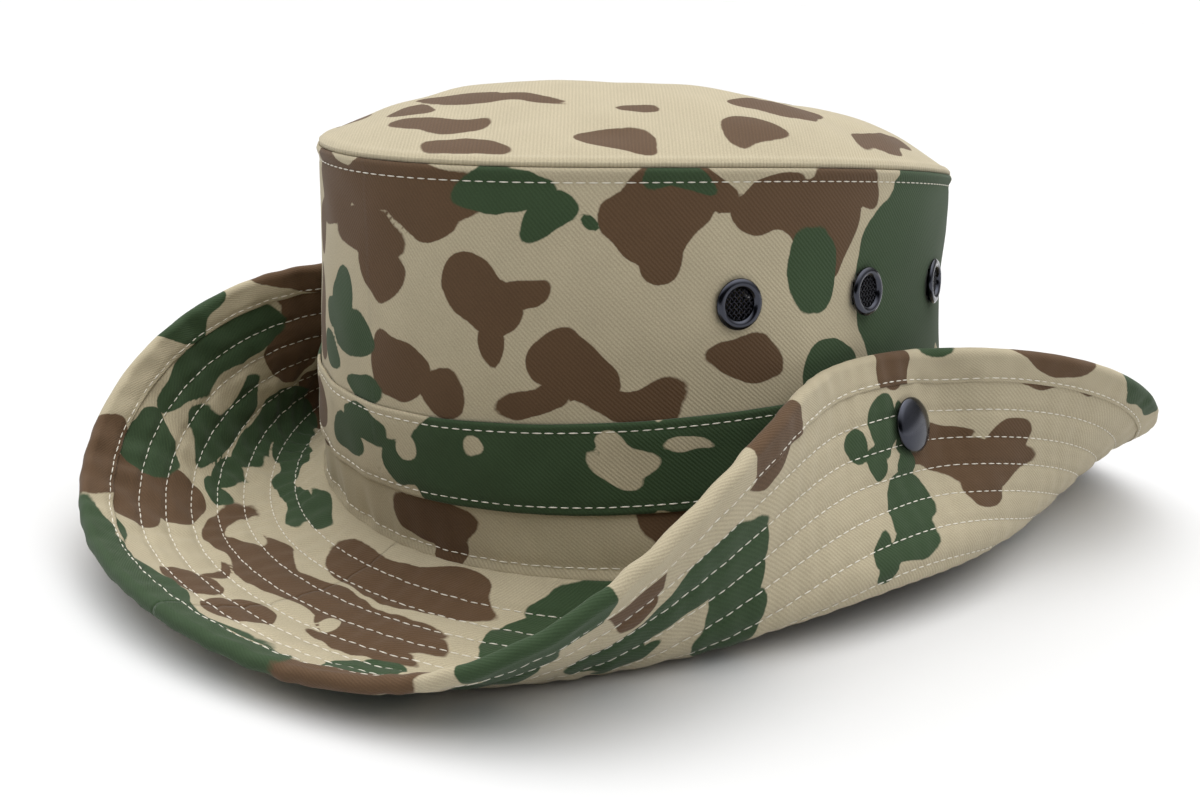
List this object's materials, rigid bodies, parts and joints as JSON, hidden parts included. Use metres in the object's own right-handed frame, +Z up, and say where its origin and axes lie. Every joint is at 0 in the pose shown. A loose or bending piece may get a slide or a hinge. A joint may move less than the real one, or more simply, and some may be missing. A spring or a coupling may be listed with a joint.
{
  "type": "snap-up bush hat",
  "caption": "Wide-brimmed cloth bush hat with mesh vents in the crown and brim sides that snap up against it.",
  "frame": {"origin": "on the plane that the hat stands on, under the middle of its bounding box", "axes": "+X towards the wearer's left, -Y towards the front of the hat, +Z up"},
  "size_m": [0.2406, 0.3376, 0.1299],
  "materials": {
    "camo_twill": "printed cotton twill in sand, brown and green",
    "camo_band": "printed cotton twill, mostly green",
    "camo_binding": "printed cotton twill strip",
    "interlining": "stiff non-woven lining",
    "sweat_tape": "cotton tape",
    "gunmetal": "glossy gunmetal lacquer",
    "vent_screen": "black lacquered wire mesh",
    "bright_steel": "nickel-plated steel"
  },
  "bodies": {
    "crown": {"crown_top_panel": "camo_twill", "crown_side_panel": "camo_twill", "hatband": "camo_band", "sweatband": "sweat_tape", "left_front_vent_flange": "gunmetal", "left_front_vent_screen": "vent_screen", "left_front_vent_washer": "bright_steel", "left_middle_vent_flange": "gunmetal", "left_middle_vent_screen": "vent_screen", "left_middle_vent_washer": "bright_steel", "left_rear_vent_flange": "gunmetal", "left_rear_vent_screen": "vent_screen", "left_rear_vent_washer": "bright_steel", "right_front_vent_flange": "gunmetal", "right_front_vent_screen": "vent_screen", "right_front_vent_washer": "bright_steel", "right_middle_vent_flange": "gunmetal", "right_middle_vent_screen": "vent_screen", "right_middle_vent_washer": "bright_steel", "right_rear_vent_flange": "gunmetal", "right_rear_vent_screen": "vent_screen", "right_rear_vent_washer": "bright_steel", "brim_upper_cloth": "camo_twill", "brim_interlining": "interlining", "brim_lower_cloth": "camo_twill", "brim_front_binding": "camo_binding", "brim_back_binding": "camo_binding", "left_snap_post": "bright_steel", "left_snap_stud": "bright_steel", "right_snap_post": "bright_steel", "right_snap_stud": "bright_steel"},
    "left_flap": {"left_flap_upper_cloth": "camo_twill", "left_flap_interlining": "interlining", "left_flap_lower_cloth": "camo_twill", "left_flap_binding": "camo_binding", "left_snap_cap": "gunmetal", "left_snap_socket": "bright_steel"},
    "right_flap": {"right_flap_upper_cloth": "camo_twill", "right_flap_interlining": "interlining", "right_flap_lower_cloth": "camo_twill", "right_flap_binding": "camo_binding", "right_snap_cap": "gunmetal", "right_snap_socket": "bright_steel"}
  },
  "joints": [
    {"name": "left_flap_fold", "type": "hinge", "parent": "crown", "child": "left_flap", "pos_m": [0.109, 0, 0.0076], "axis": [0, 1, 0], "range_deg": [0, 100]},
    {"name": "right_flap_fold", "type": "hinge", "parent": "crown", "child": "right_flap", "pos_m": [-0.111, 0, 0.0076], "axis": [0, -1, 0], "range_deg": [0, 100]}
  ]
}
